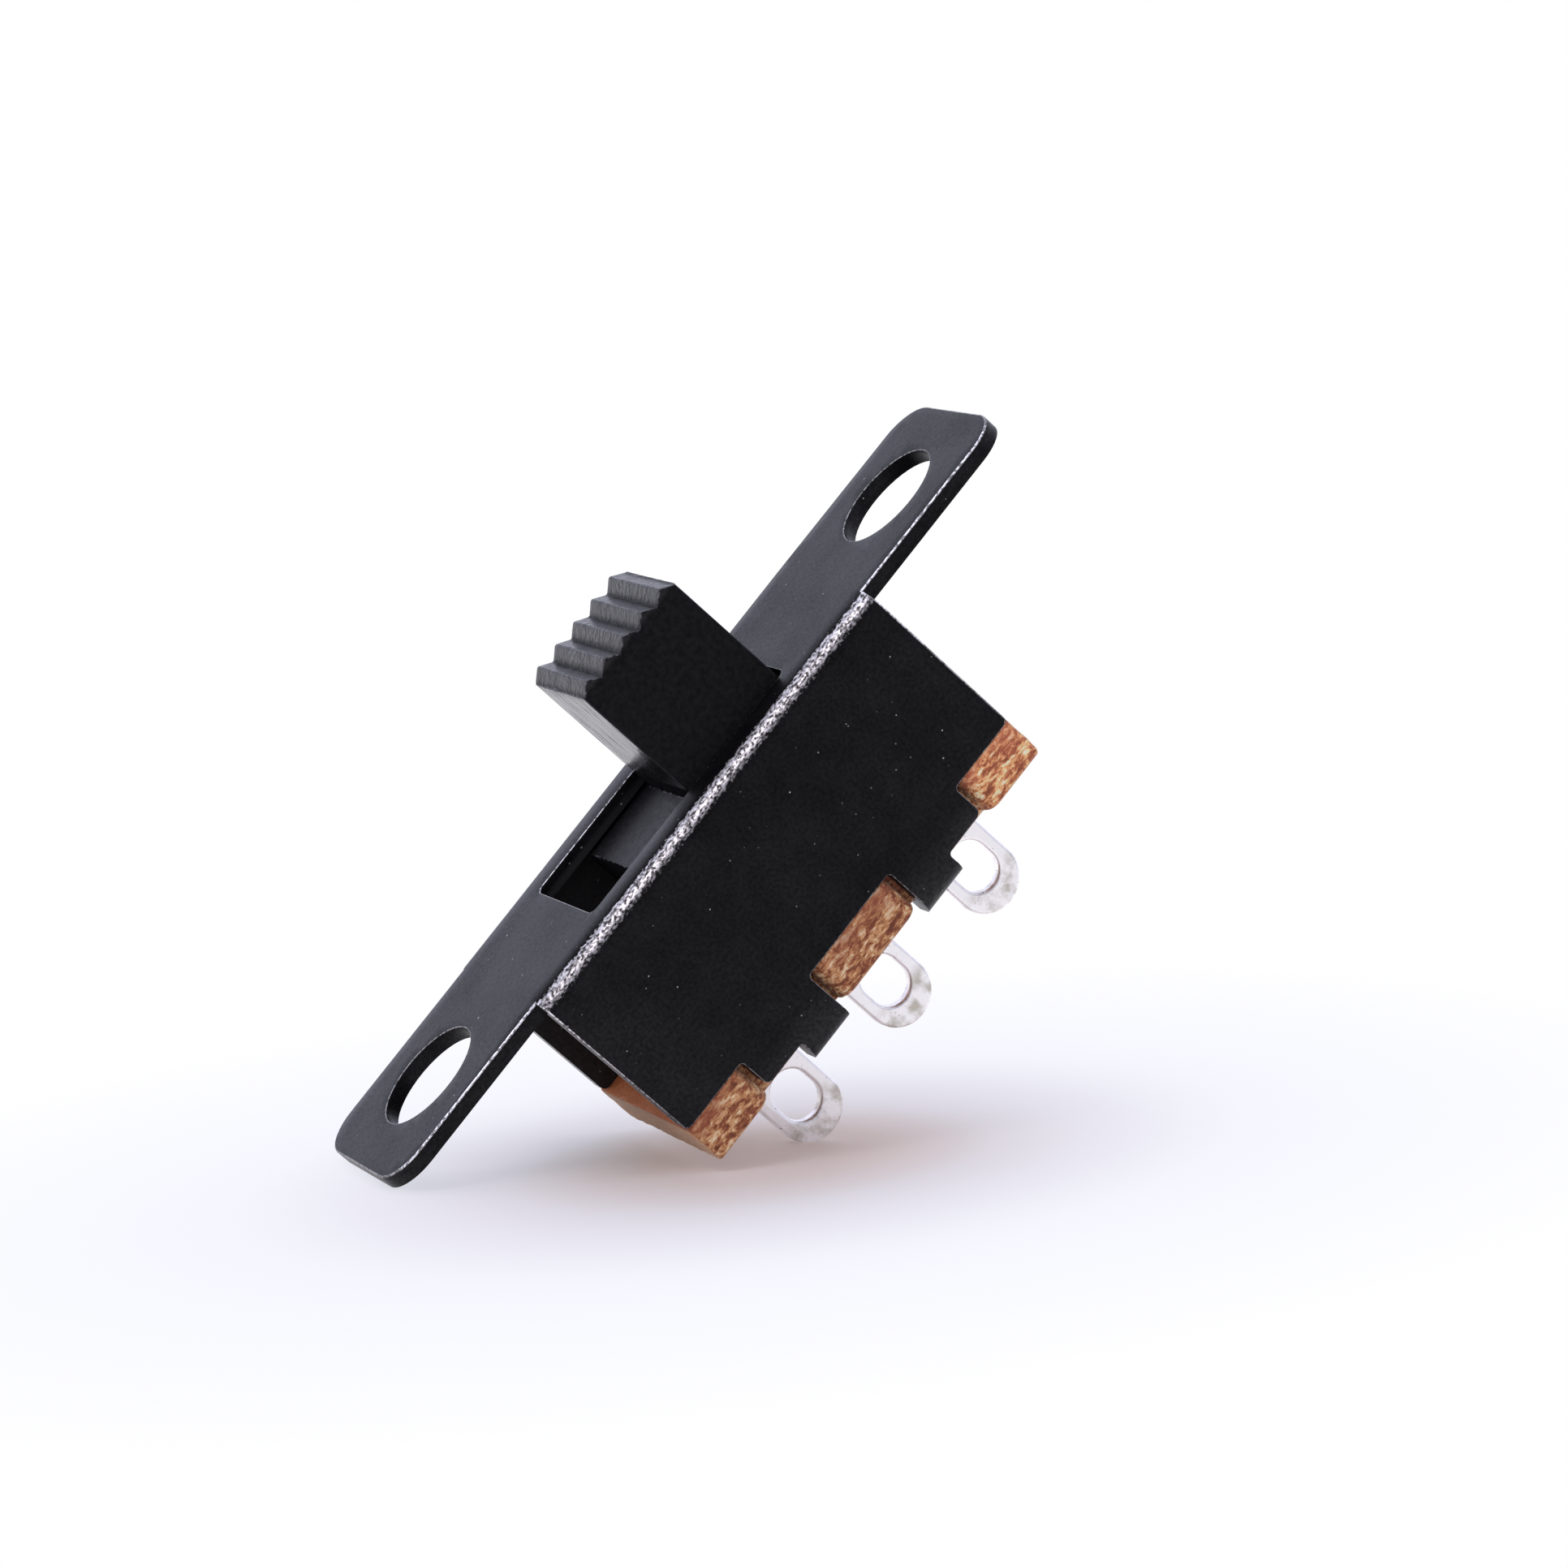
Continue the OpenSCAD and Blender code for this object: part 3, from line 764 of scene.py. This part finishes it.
class SlideSwitchStage(bpy.types.PropertyGroup):
    """The card, the lamps and the camera."""

    camera_aim: bpy.props.FloatVectorProperty(
        name="Camera aim",
        description="Point that the camera looks at",
        default=(1.49 * MM, -1.03 * MM, -1.73 * MM),
        subtype="TRANSLATION",
        unit="LENGTH",
    )
    camera_distance: bpy.props.FloatProperty(
        name="Camera distance",
        description="Distance from the camera to its aim",
        default=112 * MM,
        unit="LENGTH",
    )
    camera_azimuth: bpy.props.FloatProperty(
        name="Camera azimuth",
        description="Turn of the camera around the vertical, from straight in front",
        default=math.radians(-9.52),
        subtype="ANGLE",
    )
    camera_elevation: bpy.props.FloatProperty(
        name="Camera elevation",
        description="Height angle of the camera over the plate",
        default=math.radians(21.82),
        subtype="ANGLE",
    )
    camera_roll: bpy.props.FloatProperty(
        name="Camera roll",
        description="Turn of the picture around the view",
        default=math.radians(48.25),
        subtype="ANGLE",
    )
    camera_lens: bpy.props.FloatProperty(
        name="Lens",
        description="Focal length in millimetres on a 36 mm sensor",
        default=128.02,
    )
    card_lean: bpy.props.FloatProperty(
        name="Card lean",
        description="Turn of the card about Y, so that the leaning switch rests on it",
        default=math.radians(48.8),
        subtype="ANGLE",
    )
    card: bpy.props.StringProperty(
        name="Card",
        description="sRGB colour of the card",
        default="#dfd5d5",
    )
    lamp_level: bpy.props.FloatProperty(
        name="Lamp level",
        description="Brightness of all lamps together",
        default=1.0,
        min=0,
        max=4,
    )


class SlideSwitchLooks(bpy.types.PropertyGroup):
    """The finish of the switch's own pieces."""

    sheet_edge: bpy.props.FloatProperty(
        name="Sheet edge",
        description="Rounding of the steel sheet's blanked edges under the coat",
        default=0.035 * MM,
        unit="LENGTH",
    )
    lug_edge: bpy.props.FloatProperty(
        name="Lug edge",
        description="Rounding of the stamped lugs",
        default=0.07 * MM,
        unit="LENGTH",
    )
    moulded_edge: bpy.props.FloatProperty(
        name="Moulded edge",
        description="Rounding of the slider's moulded edges",
        default=0.03 * MM,
        unit="LENGTH",
    )
    moulded_wear: bpy.props.FloatProperty(
        name="Moulded wear",
        description="Unevenness of the knob's worn ridges",
        default=0.022 * MM,
        unit="LENGTH",
    )
    board_edge: bpy.props.FloatProperty(
        name="Board edge",
        description="Rounding of the punched board's lower edges",
        default=0.1 * MM,
        unit="LENGTH",
    )
    board_tear: bpy.props.FloatProperty(
        name="Board tear",
        description="Depth of the torn paper along the punched edge",
        default=0.05 * MM,
        unit="LENGTH",
    )
    coat_dark: bpy.props.StringProperty(
        name="Coat, dark",
        description="sRGB colour of the black coat where it is darkest",
        default="#0a0a0c",
    )
    coat_light: bpy.props.StringProperty(
        name="Coat, light",
        description="sRGB colour of the black coat where it is lightest",
        default="#121214",
    )
    # Painted fill light: the coat is painted this paler colour inside the channel.
    channel_painted_fill: bpy.props.StringProperty(
        name="Coat, thick",
        description="sRGB colour of the black coat inside the channel",
        default="#2c2c2e",
    )
    # Also the colour of the painted highlight along the folds.
    bare_steel_and_highlight: bpy.props.StringProperty(
        name="Bare steel",
        description="sRGB colour of the steel where the coat is worn along the folds",
        default="#cac7c9",
    )
    # Also the colour of the painted highlight on the blanked edges.
    bare_edge_and_highlight: bpy.props.StringProperty(
        name="Bare edge",
        description="sRGB colour of the steel where the coat is worn off the blanked edges",
        default="#eae8ec",
    )
    coat_roughness: bpy.props.FloatProperty(
        name="Coat roughness",
        description="Roughness of the black coat",
        default=0.34,
        min=0,
        max=1,
    )
    board_dark: bpy.props.StringProperty(
        name="Board, dark",
        description="sRGB colour of the resin between the board's flakes",
        default="#97563a",
    )
    board_pale: bpy.props.StringProperty(
        name="Board, pale",
        description="sRGB colour of the board's torn flakes",
        default="#dca672",
    )
    tin: bpy.props.StringProperty(
        name="Tin",
        description="sRGB colour of the plated lugs",
        default="#fcfafb",
    )
    moulding: bpy.props.StringProperty(
        name="Moulding",
        description="sRGB colour of the slider",
        default="#141517",
    )
    bronze: bpy.props.StringProperty(
        name="Bronze",
        description="sRGB colour of the contact clip",
        default="#cf9a62",
    )


# Pieces


class SLIDESWITCH_OT_stage(bpy.types.Operator):
    """Card, world, lamps and camera"""

    bl_idname = "slide_switch.stage"
    bl_label = "Stage"

    def execute(self, context):
        stage = context.scene.slide_switch_stage
        self.make_card(stage)
        self.make_world(context)
        self.make_lamps(stage)
        self.make_camera(context, stage)
        context.scene.view_settings.view_transform = "Standard"
        return {"FINISHED"}

    def make_card(self, stage):
        """A wide card at the slope on which the switch leans."""
        deselect()
        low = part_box("frame")[0]
        corner = Vector((low.x, 0, -SHEET))
        full_radius, inner_radius = 2.5, 0.2
        bpy.ops.mesh.primitive_circle_add(vertices=96, radius=full_radius, fill_type="NGON")
        card = bpy.context.view_layer.objects.active
        card.name = "white_card"
        bpy.ops.object.mode_set(mode="EDIT")
        bpy.ops.mesh.select_all(action="SELECT")
        bpy.ops.mesh.inset(thickness=full_radius - inner_radius)
        bpy.ops.object.mode_set(mode="OBJECT")
        card.matrix_world = Matrix.Translation(corner) @ Matrix.Rotation(stage.card_lean, 4, "Y")
        card.data.materials.append(white_card(stage))

    def make_world(self, context):
        """White all round for the eye, brighter behind for the gloss, and a level for the rest."""
        world = bpy.data.worlds.new("studio")
        world.use_nodes = True
        world.node_tree.nodes.clear()
        add = functools.partial(add_node, world.node_tree)
        direction = add("ShaderNodeTexCoord").outputs["Generated"]
        axes = add("ShaderNodeSeparateXYZ", {"Vector": direction})
        # The room in front of the set, towards -Y, is greyer than the white behind it.
        front = add(
            "ShaderNodeMapRange",
            {
                "Value": axes.outputs["Y"],
                "From Min": -0.9,
                "From Max": 0.3,
                "To Min": 0.6,
                "To Max": 1.35,
            },
        )
        path = add("ShaderNodeLightPath")
        gloss = add("ShaderNodeBackground", {"Color": linear("#e9ebff"), "Strength": front})
        plain = add("ShaderNodeBackground", {"Color": linear("#faf7ff"), "Strength": 0.7})
        white = add("ShaderNodeBackground", {"Color": (1, 1, 1, 1), "Strength": 1.0})
        lit = add("ShaderNodeMixShader", {0: path.outputs["Is Glossy Ray"], 1: plain, 2: gloss})
        seen = add(
            "ShaderNodeMath",
            {0: path.outputs["Is Camera Ray"], 1: path.outputs["Is Transmission Ray"]},
            operation="MAXIMUM",
        )
        shown = add("ShaderNodeMixShader", {0: seen, 1: lit, 2: white})
        add("ShaderNodeOutputWorld", {"Surface": shown})
        context.scene.world = world

    def make_lamps(self, stage):
        """Three soft boxes round the set: over it, at the upper left, and at the right."""
        aim = Vector(stage.camera_aim)
        # Name, direction from the aim, distance and width in metres, power in watts, colour.
        boxes = (
            ("softbox_over", (0.62, 0.10, 0.78), 0.30, 0.26, 0.12, "#d0deff"),
            ("softbox_left", (0.15, -0.37, 0.92), 0.26, 0.07, 0.11, "#fff5f7"),
            ("softbox_right", (0.80, -0.55, -0.10), 0.30, 0.14, 0.03, "#f2f5ff"),
        )
        for name, direction, distance, width, power, colour in boxes:
            light = bpy.data.lights.new(name, "AREA")
            light.shape = "SQUARE"
            light.size = width
            light.energy = power * stage.lamp_level
            light.color = linear(colour)[:3]
            lamp = bpy.data.objects.new(name, light)
            bpy.context.scene.collection.objects.link(lamp)
            towards = Vector(direction).normalized()
            lamp.location = aim + towards * distance
            lamp.rotation_euler = (-towards).to_track_quat("-Z", "Y").to_euler()

    def make_camera(self, context, stage):
        """The camera, aimed and rolled."""
        bpy.ops.object.camera_add()
        camera = context.view_layer.objects.active
        camera.name = "camera"
        camera.data.sensor_width = 36
        camera.data.lens = stage.camera_lens
        camera.data.clip_start = 5 * MM
        camera.data.clip_end = 20
        az, el = stage.camera_azimuth, stage.camera_elevation
        look = Vector((-math.sin(az) * math.cos(el), math.cos(az) * math.cos(el), -math.sin(el)))
        turn = look.to_track_quat("-Z", "Y").to_matrix().to_4x4()
        roll = Matrix.Rotation(-stage.camera_roll, 4, "Z")
        place = Vector(stage.camera_aim) - look * stage.camera_distance
        camera.matrix_world = Matrix.Translation(place) @ turn @ roll
        context.scene.camera = camera


class SLIDESWITCH_OT_folded_frame(bpy.types.Operator):
    """Face plate and side walls, folded from one sheet"""

    bl_idname = "slide_switch.folded_frame"
    bl_label = "Folded frame"

    def execute(self, context):
        looks = context.scene.slide_switch_looks
        coat = black_coated_steel(looks, worn_highlit_edge=False)
        edge = black_coated_steel(looks, worn_highlit_edge=True)
        piece = copy_of("frame", "folded_frame", coat, edge)
        self.join_ears()
        round_edges(piece, looks.sheet_edge, finish=1, share=self.rim)
        low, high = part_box("frame")
        divide(piece, low, high, cells=(0.3 * MM, 0.3 * MM, 0.3 * MM))
        smooth(piece)
        finish_piece(piece, "coated_steel", "housing", "frame")
        return {"FINISHED"}

    def join_ears(self):
        """Closes the active sheet's step of a few micrometres between the ears and the folds."""
        bpy.ops.object.mode_set(mode="EDIT")
        for x in (-WALL_END, WALL_END):
            bpy.ops.mesh.select_all(action="SELECT")
            bpy.ops.mesh.bisect(plane_co=(x, 0, 0), plane_no=(1, 0, 0))
        bpy.ops.mesh.select_all(action="SELECT")
        bpy.ops.mesh.remove_doubles(threshold=0.008 * MM)
        bpy.ops.object.mode_set(mode="OBJECT")

    def rim(self, place):
        """Blanking rounds only the outer side, less on the openings and walls than round the rim."""
        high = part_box("frame")[1]
        on_top = place.z > -0.01 * MM
        on_wall = high.y - abs(place.y) < 0.01 * MM
        on_fold = abs(place.y) > PAST_INNER_FACE and place.z > FOLD_FOOT
        if not (on_top or on_wall or on_fold):
            return 0.0
        off_the_ends = high.x - abs(place.x) > 0.6 * MM
        in_opening = on_top and abs(place.y) < OPENING_HALF and off_the_ends
        return 0.5 if in_opening or place.z < FOLD_FOOT else 1.0


class SLIDESWITCH_OT_punched_board(bpy.types.Operator):
    """Base board with its torn, punched edge"""

    bl_idname = "slide_switch.punched_board"
    bl_label = "Punched board"

    def execute(self, context):
        looks = context.scene.slide_switch_looks
        piece = copy_of("base_board", "punched_board", phenolic_paper(looks))
        low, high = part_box("base_board")

        def lower_half(place):
            """Punching rounds the lower edges more than the upper ones."""
            return 1.0 if place.z < (low.z + high.z) / 2 else 0.3

        round_edges(piece, looks.board_edge, share=lower_half)
        divide(piece, low, high, cells=(0.1 * MM, 0.1 * MM, 0.08 * MM))
        upright = set()
        for face in piece.data.polygons:
            if abs(face.normal.z) < 0.9:
                upright.update(face.vertices)
        roughen(piece, upright, lump=0.16 * MM, depth=looks.board_tear)
        smooth(piece, angle=60)
        finish_piece(piece, "phenolic_paper", "housing", "base_board")
        return {"FINISHED"}


class SLIDESWITCH_OT_solder_lugs(bpy.types.Operator):
    """Three stamped solder lugs with their eyes"""

    bl_idname = "slide_switch.solder_lugs"
    bl_label = "Solder lugs"

    def execute(self, context):
        looks = context.scene.slide_switch_looks
        material = tinned_brass(looks)
        for side in ("left", "common", "right"):
            node = "terminal_" + side
            piece = copy_of(node, "lug_" + side, material)
            round_edges(piece, looks.lug_edge, segments=4)
            smooth(piece)
            finish_piece(piece, "plated_terminal", "housing", node)
        return {"FINISHED"}


class SLIDESWITCH_OT_ribbed_slider(bpy.types.Operator):
    """Knob with its ridges, on its carriage"""

    bl_idname = "slide_switch.ribbed_slider"
    bl_label = "Ribbed slider"

    def execute(self, context):
        looks = context.scene.slide_switch_looks
        skin = black_polyamide(looks, rubbed_edge=False)
        rubbed = black_polyamide(looks, rubbed_edge=True)
        piece = copy_of("slider", "ribbed_slider", skin, rubbed)
        low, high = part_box("slider")
        middle = (low.x + high.x) / 2
        round_edges(piece, looks.moulded_edge, finish=1)
        # Only the knob's top, down to below its grooves, is worn uneven.
        top_low = Vector((middle - KNOB_HALF, -KNOB_HALF, high.z - 0.45 * MM))
        top_high = Vector((middle + KNOB_HALF, KNOB_HALF, high.z))
        divide(piece, top_low, top_high, cells=(0.1 * MM, 0.12 * MM, 0.06 * MM))
        top = {vertex.index for vertex in piece.data.vertices if vertex.co.z > top_low.z}
        roughen(piece, top, lump=0.09 * MM, depth=looks.moulded_wear)
        smooth(piece)
        finish_piece(piece, "black_moulding", "slider", "slider")
        return {"FINISHED"}


class SLIDESWITCH_OT_bronze_clip(bpy.types.Operator):
    """Spring clip that joins two lugs"""

    bl_idname = "slide_switch.bronze_clip"
    bl_label = "Bronze clip"

    def execute(self, context):
        looks = context.scene.slide_switch_looks
        piece = copy_of("contact_clip", "bronze_clip", phosphor_bronze(looks))
        round_edges(piece, width=0.02 * MM, segments=2)
        smooth(piece)
        finish_piece(piece, "spring_bronze", "slider", "contact_clip")
        return {"FINISHED"}


class SLIDESWITCH_PT_pieces(bpy.types.Panel):
    """Lists the stage and the pieces of the switch"""

    bl_idname = "SLIDESWITCH_PT_pieces"
    bl_label = "Slide switch"
    bl_space_type = "VIEW_3D"
    bl_region_type = "UI"
    bl_category = "Slide switch"

    def draw(self, context):
        column = self.layout.column()
        for operator in OPERATORS:
            column.operator(operator.bl_idname)
        for group in (context.scene.slide_switch_stage, context.scene.slide_switch_looks):
            for name in group.bl_rna.properties.keys():
                if name not in ("rna_type", "name"):
                    column.prop(group, name)


OPERATORS = (
    SLIDESWITCH_OT_stage,
    SLIDESWITCH_OT_folded_frame,
    SLIDESWITCH_OT_punched_board,
    SLIDESWITCH_OT_solder_lugs,
    SLIDESWITCH_OT_ribbed_slider,
    SLIDESWITCH_OT_bronze_clip,
)
CLASSES = (SlideSwitchStage, SlideSwitchLooks) + OPERATORS + (SLIDESWITCH_PT_pieces,)


def register():
    for cls in CLASSES:
        bpy.utils.register_class(cls)
    bpy.types.Scene.slide_switch_stage = bpy.props.PointerProperty(type=SlideSwitchStage)
    bpy.types.Scene.slide_switch_looks = bpy.props.PointerProperty(type=SlideSwitchLooks)


def unregister():
    del bpy.types.Scene.slide_switch_looks
    del bpy.types.Scene.slide_switch_stage
    for cls in reversed(CLASSES):
        bpy.utils.unregister_class(cls)


def main():
    """Makes every piece in order."""
    register()
    for operator in OPERATORS:
        group, name = operator.bl_idname.split(".")
        getattr(getattr(bpy.ops, group), name)()


if __name__ == "__main__":
    main()
